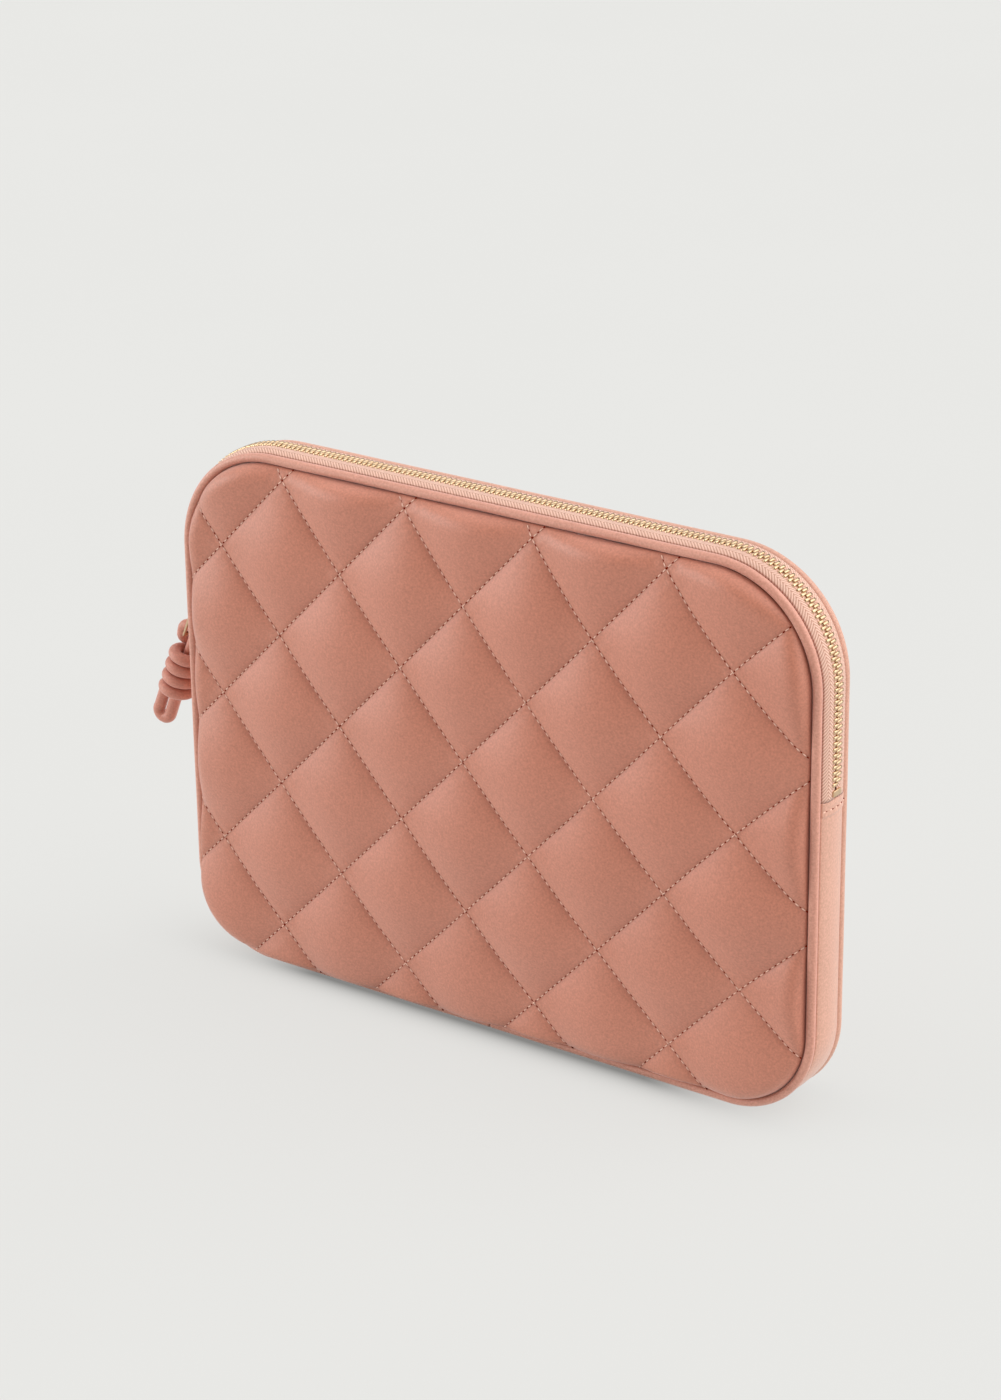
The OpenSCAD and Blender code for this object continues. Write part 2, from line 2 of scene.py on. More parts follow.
# # A quilted laptop sleeve
# The sleeve stands on its long bottom edge. Two quilted panels are sewn to a gusset with a piping in each
# seam, and the upper half of the gusset is a zip. The packed model gives the sizes and the joints, so the
# lesson starts by loading it. Lengths are written in millimetres, as a maker says them, and MM turns them
# into metres.

# %% Load the frame
import bmesh
import bpy
import math
import numpy as np
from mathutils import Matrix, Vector


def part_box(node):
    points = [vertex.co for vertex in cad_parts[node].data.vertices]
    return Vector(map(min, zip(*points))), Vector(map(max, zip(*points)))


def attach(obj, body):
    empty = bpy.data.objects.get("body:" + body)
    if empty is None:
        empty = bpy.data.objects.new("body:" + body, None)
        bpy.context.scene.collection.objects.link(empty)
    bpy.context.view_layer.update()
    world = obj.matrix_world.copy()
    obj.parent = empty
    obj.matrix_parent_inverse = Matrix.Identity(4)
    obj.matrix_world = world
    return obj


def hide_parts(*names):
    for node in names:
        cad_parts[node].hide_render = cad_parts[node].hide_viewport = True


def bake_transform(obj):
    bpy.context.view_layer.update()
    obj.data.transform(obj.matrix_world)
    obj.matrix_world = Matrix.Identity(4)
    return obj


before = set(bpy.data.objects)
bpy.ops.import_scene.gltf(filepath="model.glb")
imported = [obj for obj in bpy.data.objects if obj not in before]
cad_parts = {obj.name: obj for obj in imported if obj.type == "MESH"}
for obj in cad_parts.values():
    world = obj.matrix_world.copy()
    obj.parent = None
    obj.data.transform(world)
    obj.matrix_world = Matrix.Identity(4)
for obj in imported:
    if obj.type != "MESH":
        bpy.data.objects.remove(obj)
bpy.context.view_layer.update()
scene = bpy.context.scene
MM = 0.001

# %% [markdown]
# ## The camera
# The picture was taken from the right, in front and a little above, with a long lens. The place and the turn
# below were worked out from the outline of the sleeve, so the render can be laid over the picture. A long
# lens far away keeps the verticals almost parallel, which a short lens close by would not.

# %% Camera
camera = bpy.data.objects.new("camera", bpy.data.cameras.new("camera"))
scene.collection.objects.link(camera)
camera.location = (0.91224, -1.26988, 0.80180)
camera.rotation_euler = [math.radians(a) for a in (67.730, 0.733, 35.410)]
camera.data.sensor_width = 36
camera.data.lens = 95.5
scene.camera = camera
print("camera at", [round(v, 3) for v in camera.location], "lens", camera.data.lens)

# %% [markdown]
# ## Nodes written as sums
# A finish is a small sum: a colour, plus a grain, times a shade. Nodes can be added one by one, but then the
# sum is lost among the links. Here one class wraps a socket, and its operators add the Math nodes, so that
# the code reads like the sum. Its method for any other node serves Geometry Nodes as well.

# %% A socket that can be added and multiplied
class Wire:
    def __init__(self, socket):
        self.socket = socket

    def node(self, kind, settings, inputs, output=0):
        tree = self.socket.id_data
        made = tree.nodes.new(kind)
        for key, value in settings.items():
            setattr(made, key, value)
        for key, value in inputs.items():
            if isinstance(value, Wire):
                tree.links.new(value.socket, made.inputs[key])
            else:
                made.inputs[key].default_value = value
        return Wire(made.outputs[output])

    def math(self, operation, *values):
        return self.node("ShaderNodeMath", {"operation": operation}, dict(enumerate(values)))

    def __add__(self, other):
        return self.math("ADD", self, other)

    def __sub__(self, other):
        return self.math("SUBTRACT", self, other)

    def __rsub__(self, other):
        return self.math("SUBTRACT", other, self)

    def __mul__(self, other):
        return self.math("MULTIPLY", self, other)

    def __truediv__(self, other):
        return self.math("DIVIDE", self, other)

    __radd__ = __add__
    __rmul__ = __mul__

    def at_least(self, low):
        return self.math("MAXIMUM", self, low)

    def at_most(self, high):
        return self.math("MINIMUM", self, high)

    def axis(self, k):
        return self.node("ShaderNodeSeparateXYZ", {}, {0: self}, k)

    def scale(self, factor):
        return self.node("ShaderNodeVectorMath", {"operation": "SCALE"}, {0: self, "Scale": factor})

    def noise(self, scale, detail):
        return self.node("ShaderNodeTexNoise", {}, {"Vector": self, "Scale": scale, "Detail": detail})

    def between(self, first, second):
        first, second = ((*c, 1) if isinstance(c, tuple) else c for c in (first, second))
        return self.node("ShaderNodeMix", {"data_type": "RGBA"}, {0: self, 6: first, 7: second}, 2)

    def bump(self, strength, distance):
        return self.node("ShaderNodeBump", {}, {"Height": self, "Strength": strength, "Distance": distance})

    def into(self, socket):
        self.socket.id_data.links.new(self.socket, socket)


def new_finish(name, **constants):
    material = bpy.data.materials.new(name)
    material.use_nodes = True
    tree = material.node_tree
    shader = tree.nodes["Principled BSDF"].inputs
    for socket, value in constants.items():
        shader[socket.replace("_", " ")].default_value = value
    return material, shader, Wire(tree.nodes.new("ShaderNodeTexCoord").outputs["Object"])


def own_value(wire, name, output):
    return wire.node("ShaderNodeAttribute", {"attribute_name": name}, {}, output)


print("operators:", [name for name in vars(Wire) if name.startswith("__r")])

# %% [markdown]
# ## Leather
# The shell is a smooth imitation leather: an almost even dusty pink with a fine pressed grain and a soft, low
# gloss. A cloudy noise shifts the colour a little, and small Voronoi cells press the grain. The panels and
# pipings carry a value that mixes in a dark colour as painted shade: in the sewn seams, in the crease beside
# the piping, on the inner side of the panels and in the notch where the piping's ends meet. The paler copies
# of this leather on the pipings and the gusset are painted light.
# The colour lives in Object coordinates, so it stays with the piece from every side.

# %% Leather finishes
# Dark colour mixed in as painted shade in seams, creases and grooves.
painted_shade_colour = (0.19, 0.032, 0.014)


def leather(name, deep, light, cell, press):
    material, shader, place = new_finish(name, Specular_IOR_Level=0.75, Sheen_Weight=0.35, Sheen_Roughness=0.5)
    hollow = own_value(place, "hollow", "Fac")
    cloudy = place.noise(16, 4)
    speckle = place.noise(1000, 2)
    colour = (cloudy * 0.5 + speckle * 1.9 - 0.7).between(deep, light)
    # Painted shade: the dark colour is mixed in where the piece's shade value rises.
    (hollow * 0.8).between(colour, painted_shade_colour).into(shader["Base Color"])
    pebble = place.node("ShaderNodeTexVoronoi", {}, {"Vector": place, "Scale": 1 / (cell * MM)}, "Distance")
    (0.44 + 0.1 * cloudy + 0.08 * pebble).into(shader["Roughness"])
    (pebble * 0.6 + speckle * 0.4).bump(press, 0.15 * MM).into(shader["Normal"])
    return material


quilt_leather = leather("quilt_leather", (0.50, 0.168, 0.097), (0.68, 0.246, 0.153), cell=0.9, press=0.35)
# Painted light: the next copy and the last one are the panel leather painted paler, for the gusset and the
# pipings.
plain_leather = leather("plain_leather", (0.60, 0.30, 0.21), (0.79, 0.42, 0.305), cell=0.8, press=0.25)
cord_leather = leather("cord_leather", (0.53, 0.18, 0.117), (0.71, 0.26, 0.177), cell=0.7, press=0.35)
bead_leather = leather("bead_leather", (0.60, 0.25, 0.17), (0.79, 0.36, 0.26), cell=0.8, press=0.25)
print("leathers:", [m.name for m in (quilt_leather, plain_leather, cord_leather, bead_leather)])

# %% [markdown]
# ## Thread, tape, cloth and metal
# The thread is paler than the leather, and between two stitches it dives into a needle hole, drawn as a small
# dark ball of painted shade. The zip tape is woven in herringbone: fine ribs that lean one way for 3 mm and
# then the other way. That pattern has to follow the zip round the corners, so it reads a value that the tape
# carries with it, its distance along the zip and across it. The lining is a plain weave, and the teeth are
# pale gold metal.

# %% Thread and needle holes of painted shade
def thread_finish():
    material, shader, place = new_finish("pale_thread", Roughness=0.6, Sheen_Weight=0.3)
    place.noise(2500, 1).between((0.84, 0.47, 0.35), (0.98, 0.70, 0.56)).into(shader["Base Color"])
    place.noise(4000, 1).bump(0.4, 0.1 * MM).into(shader["Normal"])
    return material


# Painted shade: each needle hole is a small dark ball standing in for the shade in the hole.
def hole_shade_finish():
    material, shader, place = new_finish("needle_hole", Specular_IOR_Level=0.0, Roughness=0.9)
    place.noise(900, 1).between((0.17, 0.012, 0.003), (0.25, 0.024, 0.008)).into(shader["Base Color"])
    return material


pale_thread, needle_hole = thread_finish(), hole_shade_finish()
print("sewing:", pale_thread.name, needle_hole.name)


# %% Herringbone tape
rib_pitch, rib_width = 1.6, 3.0


def tape_finish():
    material, shader, place = new_finish(
        "herringbone_tape", Specular_IOR_Level=0.2, Sheen_Weight=0.25, Roughness=0.75,
    )
    lay = own_value(place, "lay", "Vector")
    along, across, from_hem = (lay.axis(k) for k in range(3))
    fold = lay.math("PINGPONG", across, rib_width)
    rib = 0.5 + 0.5 * lay.math("SINE", (along + 1.1 * fold) * (2 * math.pi / rib_pitch))
    spine = (lay.math("SMOOTH_MIN", fold, rib_width - fold, 0.4) * 2.0).at_most(1.0)
    pink = (rib * 0.75 + spine * 0.25).between((0.50, 0.23, 0.16), (0.92, 0.62, 0.50))
    # Painted shade: a dark line where the tape runs under the piping and beside the hem fold.
    painted_groove_shade = (across * 1.6 - 8.5).at_least(0.6 - 0.5 * from_hem)
    painted_groove_shade.at_least(0.0).at_most(0.45).between(pink, painted_shade_colour).into(shader["Base Color"])
    (rib * 0.8 + spine * 0.2).bump(0.7, 0.2 * MM).into(shader["Normal"])
    return material


herringbone_tape = tape_finish()
print("tape:", herringbone_tape.name)


# %% Lining and board
def lining_finish(pitch):
    material, shader, place = new_finish(
        "lining_weave", Specular_IOR_Level=0.2, Sheen_Weight=0.2, Roughness=0.85,
    )
    x, y, z = (place.axis(k) for k in range(3))
    turn = 2 * math.pi / (pitch * MM)
    weave = 0.5 + 0.5 * place.math("SINE", (x + y) * turn) * place.math("SINE", z * turn)
    tone = 0.8 * weave + 0.2 * place.noise(40, 2)
    tone.between((0.44, 0.20, 0.16), (0.56, 0.28, 0.22)).into(shader["Base Color"])
    weave.bump(0.35, 0.1 * MM).into(shader["Normal"])
    return material


def board_finish(fibre):
    material, shader, place = new_finish("grey_board", Specular_IOR_Level=0.1, Roughness=0.95)
    fibres = place.noise(1 / (fibre * MM), 6)
    fibres.between((0.25, 0.21, 0.18), (0.36, 0.31, 0.27)).into(shader["Base Color"])
    fibres.bump(0.6, 0.4 * MM).into(shader["Normal"])
    return material


lining_weave, grey_board = lining_finish(0.7), board_finish(2.5)
print("inside:", lining_weave.name, grey_board.name)


# %% Pale gold metal
def metal_finish():
    material, shader, place = new_finish("pale_gold_metal", Metallic=1.0)
    worn = place.noise(220, 3)
    worn.between((0.62, 0.43, 0.25), (0.82, 0.61, 0.41)).into(shader["Base Color"])
    (0.24 + 0.14 * worn).into(shader["Roughness"])
    place.noise(900, 2).bump(0.08, 0.05 * MM).into(shader["Normal"])
    return material


pale_gold = metal_finish()
print("metal:", pale_gold.name)

# %% [markdown]
# ## The edge of the sleeve
# Everything is sewn along one line, the rounded rectangle that the middle of each piping follows. Its sizes
# come from the box of a piping in the frame. A table of points along it, with the direction that faces out,
# is enough to lay pipings, gusset, tapes and teeth by their distance along the seam, counted from the middle
# of the bottom.

# %% Points along the edge
low, high = ([v / MM for v in corner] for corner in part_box("back_piping"))
piping_r = (high[1] - low[1]) / 2
seam_y = (high[1] + low[1]) / 2
edge_w = high[0] - low[0] - 2 * piping_r
edge_low, edge_top = 1.6, high[2] - piping_r
edge_mid, edge_h = (edge_top + edge_low) / 2, edge_top - edge_low
top_r, bottom_r = 51.8, 41.8
corner_points = 61


def edge_table():
    x, z, facing = [0.0], [edge_low], [270.0]
    for side, level, r, start in (
        (-1, edge_low + bottom_r, bottom_r, 270), (-1, edge_top - top_r, top_r, 180),
        (1, edge_top - top_r, top_r, 90), (1, edge_low + bottom_r, bottom_r, 0),
    ):
        for a in np.linspace(start, start - 90, corner_points):
            x.append(side * (edge_w / 2 - r) + r * math.cos(math.radians(a)))
            z.append(level + r * math.sin(math.radians(a)))
            facing.append(a)
    x, z, facing = np.array(x + [0.0]), np.array(z + [edge_low]), np.array(facing + [-90.0])
    return np.concatenate([[0], np.cumsum(np.hypot(np.diff(x), np.diff(z)))]), x, z, facing


edge_s, edge_x, edge_z, edge_facing = edge_table()
edge_length = edge_s[-1]


def along_edge(s, out=0.0):
    s = np.mod(s, edge_length)
    a = np.radians(np.interp(s, edge_s, edge_facing))
    return (np.interp(s, edge_s, edge_x) + out * np.cos(a), np.interp(s, edge_s, edge_z) + out * np.sin(a))


zip_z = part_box("zip_tape_back")[0].z / MM
zip_s = edge_w / 2 - bottom_r + bottom_r * math.pi / 2 + zip_z - edge_low - bottom_r
print("edge length", round(edge_length, 1), "zip from", round(zip_s, 1), "to", round(edge_length - zip_s, 1))

# %% [markdown]
# ## Making a piece
# Most pieces here are rows of points joined into a skin. One helper joins the rows, one closes two layers of
# a sheet at the rim, and one turns points and faces into an object with its normals outwards and its place in
# its mesh, as the frame wants it. What lies on the front panel only has its place baked into its mesh; it is
# not bent.

# %% Skins and pieces
sharp_angle = math.radians(28)


def skin(rows, round_row=True, round_path=False):
    n, m = rows.shape[:2]
    faces = [
        (i * m + j, i * m + (j + 1) % m, (i + 1) % n * m + (j + 1) % m, (i + 1) % n * m + j)
        for i in range(n if round_path else n - 1) for j in range(m if round_row else m - 1)
    ]
    if round_row and not round_path:
        faces += [tuple(range(m)), tuple(range((n - 1) * m, n * m))]
    return rows.reshape(-1, 3), faces


def closed_sheet(outer, inner, faces, rim):
    n = len(outer)
    under = [tuple(k + n for k in reversed(face)) for face in faces]
    return np.concatenate([outer, inner]), faces + under + [(a, b, b + n, a + n) for a, b in rim]


def together(parts):
    points, faces, start = [], [], 0
    for part_points, part_faces in parts:
        points.append(np.asarray(part_points, float))
        faces += [tuple(k + start for k in face) for face in part_faces]
        start += len(part_points)
    return np.concatenate(points), faces


def new_piece(name, shape, *materials, bevel=0.0, **values):
    mesh = bpy.data.meshes.new(name)
    mesh.from_pydata((np.asarray(shape[0]) * MM).tolist(), [], shape[1])
    for material in materials:
        mesh.materials.append(material)
    for label, value in values.items():
        kind, field = ("FLOAT", "value") if np.ndim(value) == 1 else ("FLOAT_VECTOR", "vector")
        mesh.attributes.new(label, kind, "POINT").data.foreach_set(field, np.ravel(value))
    bm = bmesh.new()
    bm.from_mesh(mesh)
    bmesh.ops.recalc_face_normals(bm, faces=bm.faces[:])
    if bevel:
        sharp = [e for e in bm.edges if e.calc_face_angle(0) > sharp_angle]
        bmesh.ops.bevel(bm, geom=sharp, offset=bevel * MM, segments=2, profile=0.6, affect="EDGES")
    for face in bm.faces:
        face.smooth = True
    bm.to_mesh(mesh)
    bm.free()
    piece = bpy.data.objects.new(name, mesh)
    scene.collection.objects.link(piece)
    print(name, "faces:", len(mesh.polygons))
    return piece


def bends_open(piece):
    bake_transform(piece)


# %% [markdown]
# ## The quilted panels
# Each panel is a leather shell over wadding, sewn through in diamonds. The seams are straight on the flat
# cloth, so the sheet is made on a grid whose lines run along the two families of seams: the seams then stay
# sharp however the puffs swell. Where the cloth is drawn over the top and right borders the lines bend by a
# few millimetres, and at the bottom they are set back by as much as the wadding settles, so that they look
# straight there. The grid is closer at the seams and is trimmed to the outline of the panel. Beside the piping
# the panel turns down steeply, and there a few rows that follow the outline carry it on.

# %% The quilting grid
quilt_w, quilt_h, quilt_x, quilt_z = 72.0, 75.0, -9.0, 135.0
panel_out = -piping_r - 0.05
draw_right, draw_top, draw_left = 6, 3, 1.8
settle_most, settle_width = 4.2, 4
border_h, border_w, crown_h = 3.6, 8, 5.4


def narrowing(z):
    return 1 - 0.022 * (z - quilt_z) / 100


def edge_inset(x, z):
    r = np.where(z > edge_mid, top_r, bottom_r)
    qx, qz = np.abs(x) - edge_w / 2 + r, np.abs(z - edge_mid) - edge_h / 2 + r
    return r - np.hypot(np.maximum(qx, 0), np.maximum(qz, 0)) - np.minimum(np.maximum(qx, qz), 0)


def settled(x, z):
    near = np.maximum(0, edge_inset(x, z) + panel_out) / settle_width
    lowest = np.exp(-((np.maximum(0, z - 30) / 35) ** 2))
    move = settle_most * lowest * (0.6 - 0.4 * np.tanh((x - 20) / 60)) * near**2 * np.exp(2 - 2 * near)
    in_x = edge_inset(x + 0.5, z) - edge_inset(x - 0.5, z)
    in_z = edge_inset(x, z + 0.5) - edge_inset(x, z - 0.5)
    return x - in_x * move, z - in_z * move


def drawn(x, z):
    right, top = np.clip((x - 110) / 60, 0, 1) ** 2, np.clip((z - 200) / 55, 0, 1) ** 2
    left = np.clip((60 - x) / 100, 0, 1)
    along = draw_top * top * (1 - 0.6 * left) + draw_left * left * np.clip((z - 40) / 80, 0, 1)
    sunk_x, sunk_z = settled(x, z)
    return draw_right * right + along + x - sunk_x, along + z - sunk_z


def seam_to_place(p, q):
    flat_z = quilt_z + quilt_h * (p - q) / 2
    flat_x = quilt_x + quilt_w * (p + q) / 2 * narrowing(flat_z)
    x, z = flat_x, flat_z + 4.5
    for _ in range(30):
        dx, dz = drawn(x, z)
        x, z = flat_x + dx, flat_z + dz
    return x, z


def place_to_seam(x, z):
    dx, dz = drawn(x, z)
    x, z = x - dx, z - dz
    across, up = (x - quilt_x) / quilt_w / narrowing(z), (z - quilt_z) / quilt_h
    return across + up, across - up


def quarter_round(t):
    return np.sqrt(1 - (1 - np.clip(t, 0, 1)) ** 2)


def dome(x, z):
    wide, tall = 1 - (2 * x / edge_w) ** 2, 1 - (2 * (z - edge_mid) / edge_h) ** 2
    lift = quarter_round((edge_inset(x, z) + panel_out) / border_w)
    return border_h * lift + crown_h * np.maximum(0, wide) * np.maximum(0, tall)


print("seams meet at", quilt_x, quilt_z)


# %% A sheet cut to the panel
def panel_sheet(cells, border):
    t = np.arange(cells) / cells
    t = t - 0.5 * np.sin(2 * math.pi * t) / (2 * math.pi)
    lines = np.concatenate([m + t for m in range(-5, 5)])
    n = len(lines)
    p, q = np.meshgrid(lines, lines, indexing="ij")
    x, z = seam_to_place(p, q)
    inside = edge_inset(x, z) > piping_r - 4
    keep = inside[:-1, :-1] | inside[1:, :-1] | inside[:-1, 1:] | inside[1:, 1:]
    corner = np.argwhere(keep) @ (n, 1)
    faces = np.stack([corner, corner + n, corner + n + 1, corner + 1], 1)
    used, faces = np.unique(faces, return_inverse=True)
    mesh = bpy.data.meshes.new("sheet")
    flat = np.stack([x.ravel()[used], np.zeros(len(used)), z.ravel()[used]], 1)
    mesh.from_pydata(flat.tolist(), [], faces.reshape(-1, 4).tolist())
    bm = bmesh.new()
    bm.from_mesh(mesh)
    for k in [1 + corner_points * corner + 4 * step for corner in range(4) for step in range(16)]:
        out = Vector((math.cos(math.radians(edge_facing[k])), 0, math.sin(math.radians(edge_facing[k]))))
        bmesh.ops.bisect_plane(
            bm, geom=bm.verts[:] + bm.edges[:] + bm.faces[:], dist=1e-4, clear_outer=True,
            plane_co=Vector((edge_x[k], 0, edge_z[k])) + (panel_out - border) * out, plane_no=out,
        )
    bmesh.ops.remove_doubles(bm, verts=bm.verts[:], dist=0.2)
    bm.verts.index_update()
    xz = np.array([(v.co.x, v.co.z) for v in bm.verts])
    faces = [tuple(v.index for v in f.verts) for f in bm.faces]
    loops = [e.link_loops[0] for e in bm.edges if e.is_boundary]
    rim = [(loop.vert.index, loop.link_loop_next.vert.index) for loop in loops]
    bm.free()
    bpy.data.meshes.remove(mesh)
    return xz[:, 0], xz[:, 1], faces, rim


def add_border(x, z, faces, rim, border, rows):
    ends = sorted({a for a, _ in rim})
    r = np.where(z[ends] > edge_mid, top_r, bottom_r)
    side_x, side_z = np.sign(x[ends]), np.sign(z[ends] - edge_mid)
    out_x = np.maximum(0, np.abs(x[ends]) - edge_w / 2 + r) * side_x
    out_z = np.maximum(0, np.abs(z[ends] - edge_mid) - edge_h / 2 + r) * side_z
    long = np.hypot(out_x, out_z)
    out_x, out_z = out_x / long, out_z / long
    now, faces = {k: k for k in ends}, list(faces)
    for step in range(1, rows + 1):
        move = border * (1 - (1 - step / rows) ** 2)
        new = {k: len(x) + i for i, k in enumerate(ends)}
        x = np.concatenate([x, x[ends] + move * out_x])
        z = np.concatenate([z, z[ends] + move * out_z])
        faces += [(now[b], now[a], new[a], new[b]) for a, b in rim]
        now = new
    return x, z, faces, [(now[a], now[b]) for a, b in rim]


steep = 3.5
sheet_x, sheet_z, sheet_faces, sheet_rim = add_border(*panel_sheet(30, steep), steep, 8)
print("sheet points:", len(sheet_x), "faces:", len(sheet_faces), "rim edges:", len(sheet_rim))

# %% [markdown]
# ## Puffs
# Wadding pushes the leather out between the seams. Each diamond rises steeply from its four seams and is
# nearly flat in the middle, no two are quite alike, and the whole panel is crowned by what is inside. Near
# the piping the puffs roll down into the seam, and at the bottom the wadding has settled over the piping.

# %% Height of the puffs
puff_h, puff_roll, pucker_h, diamond_side = 6.1, 7, 0.16, 52


def puffs(x, z):
    p, q = place_to_seam(x, z)
    roll = quarter_round((edge_inset(x, z) + panel_out) / puff_roll)
    swell = np.abs(np.sin(math.pi * p) * np.sin(math.pi * q)) ** 0.8
    each = np.random.default_rng(5).uniform(0.93, 1.07, (24, 24))
    off_p, off_q = (diamond_side * np.abs(v - np.round(v)) for v in (p, q))
    pucker = np.exp(-off_p / 7) * np.sin(5.3 * q + 9.1 * np.sin(7.7 * q)) * np.minimum(off_p, 1)
    pucker += np.exp(-off_q / 7) * np.sin(6.1 * p + 9.1 * np.sin(8.3 * p)) * np.minimum(off_q, 1)
    swell = puff_h * swell * each[np.floor(p).astype(int) + 12, np.floor(q).astype(int) + 12]
    return roll * np.maximum(0, swell + pucker_h * pucker)


# Painted shade: darker in the seam valleys and darkest in the crease beside the piping.
def painted_seam_shade(x, z):
    p, q = place_to_seam(x, z)
    off = diamond_side * np.minimum(np.abs(p - np.round(p)), np.abs(q - np.round(q)))
    rim = edge_inset(x, z) + panel_out
    return np.maximum(0.3 * np.exp(-((off / 0.9) ** 2)), 0.7 * np.exp(-((rim / 0.4) ** 2)))


sheet_y = seam_y + dome(sheet_x, sheet_z) + puffs(sheet_x, sheet_z)
print("panel stands out to", round(sheet_y.max(), 2))


# %% Both panels
inner_crown = 0.75


def panel(name, side):
    inner = seam_y - 1.9 + inner_crown * dome(sheet_x, sheet_z)
    x, z = settled(sheet_x, sheet_z)
    outside, inside = np.stack([x, side * sheet_y, z], 1), np.stack([sheet_x, side * inner, sheet_z], 1)
    # Painted shade: seams and crease on the outside, full shade on the inner side.
    hollow = np.concatenate([painted_seam_shade(sheet_x, sheet_z), np.ones(len(sheet_x))])
    shape = closed_sheet(outside, inside, sheet_faces, sheet_rim)
    piece = new_piece(name, shape, quilt_leather, hollow=hollow)
    return piece


front_panel = panel("front_panel", -1)
front_layers = [f"front_{layer}_{part}" for layer in ("shell", "wadding") for part in ("lower", "upper")]
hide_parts(*front_layers)
bends_open(front_panel)
back_panel = panel("back_panel", 1)
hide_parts("back_shell", "back_wadding")
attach(back_panel, "sleeve")

# %% [markdown]
# ## Linings
# Inside, each panel is covered by a woven lining, and a strip of the same cloth covers the gusset. They are
# thin sheets that follow the crown of the panels, and they show when the sleeve is opened.

# %% Panel linings
cloth_x, cloth_z, cloth_faces, cloth_rim = panel_sheet(12, 0)


def panel_lining(name, side):
    ripple = 0.15 * np.sin(cloth_x / 17) * np.sin(cloth_z / 23)
    ripple = ripple * np.minimum(1, edge_inset(cloth_x, cloth_z) / 30)
    level = seam_y + inner_crown * dome(cloth_x, cloth_z) + ripple
    outside, inside = (np.stack([cloth_x, side * (level - depth), cloth_z], 1) for depth in (2.25, 2.8))
    piece = new_piece(name, closed_sheet(outside, inside, cloth_faces, cloth_rim), lining_weave)
    return piece


front_lining = panel_lining("front_panel_lining", -1)
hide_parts("front_lining_lower", "front_lining_upper")
bends_open(front_lining)
back_lining = panel_lining("back_panel_lining", 1)
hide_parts("back_lining")
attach(back_lining, "sleeve")

# %% [markdown]
# ## Pipings
# A piping is a cord in a folded strip of leather, caught in the seam so that only its round bead shows. A
# round row of points travels once round the edge. The floor presses the bead flat underneath, and the two
# ends of the strip meet in the middle of the bottom, where a small notch shows, darkened with painted shade.
# The beads are painted lighter than the panels as painted light, the back one more than the front one.

# %% Both pipings
def piping(name, side):
    near = np.array([-6, -3, -1.6, -0.9, -0.5, -0.2, 0.2, 0.5, 0.9, 1.6, 3, 6])
    s = np.concatenate([near, np.arange(9, edge_length - 9, 3.0)])
    turn = np.linspace(0, 2 * math.pi, 20, endpoint=False)
    gap = np.abs((s + edge_length / 2) % edge_length - edge_length / 2)
    r = piping_r - 0.04 - 0.03 * np.sin(s / 11) - 0.5 * np.exp(-((gap / 0.5) ** 2))
    out = r[:, None] * np.cos(turn)
    x, z = along_edge(s[:, None], out)
    y = side * seam_y + r[:, None] * np.sin(turn)
    rows = np.stack([x, y, np.maximum(z, 0.0)], 2)
    # Painted shade in the notch where the two ends of the strip meet.
    hollow = np.repeat(np.exp(-((gap / 0.4) ** 2)), len(turn))
    # Painted light: the front bead takes the paler copy, the back bead the palest.
    finish = bead_leather if side < 0 else plain_leather
    piece = new_piece(name, skin(rows, round_path=True), finish, hollow=hollow)
    return piece


front_piping = piping("front_piping_bead", -1)
front_cords = [f"front_piping{kind}_{part}" for kind in ("", "_cord") for part in ("lower", "upper")]
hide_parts(*front_cords)
bends_open(front_piping)
back_piping = piping("back_piping_bead", 1)
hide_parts("back_piping", "back_piping_cord")
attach(back_piping, "sleeve")

# %% [markdown]
# ## The gusset
# Below the zip the gusset is a plain leather band. At each end it is folded under and sewn, so the last 7 mm
# are thicker and end in a round fold. The band is a row of points across its width that travels from the
# hem on the left, under the sleeve, to the hem on the right. Its sides bow out between the pipings, and the
# floor keeps it flat underneath. The lining and a stiff board lie behind it.

# %% Leather band
band_half, band_out, band_bow = 9.0, 1.6, 1.6
hem_l, hem_t, hem_seam = 7.3, 0.5, 4.2


def gusset_band():
    right = np.array([0, 3, 6, band_half - 0.55, band_half - 0.16, band_half, band_half])
    drop = np.array([0, 0, 0, 0, 0.16, 0.55, 1.35])
    across, level = np.concatenate([-right[:0:-1], right]), band_out - np.concatenate([drop[:0:-1], drop])
    ends = np.array([0, 0.15, 0.45, 0.9, 2, 3.2, 4.2, 4.8, 5.2, 6, 6.7, 7, 7.3, 8, 10])
    s = np.concatenate([zip_s - ends, np.arange(zip_s - 14, 14 - zip_s, -4.0), ends[::-1] - zip_s])
    to_end = zip_s - np.abs(s)
    hem = np.clip((hem_l - to_end) / 0.6, 0, 1)
    fold = 1 - np.sqrt(1 - (1 - np.clip(to_end / 0.9, 0, 1)) ** 2 * 0.999)
    dip = 0.22 * np.exp(-(((to_end - hem_seam) / 0.7) ** 2))
    corner = edge_w / 2 - bottom_r
    bow = band_bow * np.clip((np.abs(s) - corner) / (bottom_r * math.pi / 2), 0, 1) ** 2
    out = level + bow[:, None] * (1 - (across / band_half) ** 2)
    out = out + (hem_t * hem - dip - 0.9 * fold)[:, None] * (level > 0.5)
    x, z = along_edge(s[:, None], out)
    y = np.broadcast_to(across, x.shape)
    # The band takes the palest copy of the leather, as painted light.
    piece = new_piece("gusset_leather", skin(np.stack([x, y, np.maximum(z, 0.0)], 2)), plain_leather)
    return piece


gusset_leather = gusset_band()
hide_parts("gusset_band")
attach(gusset_leather, "sleeve")


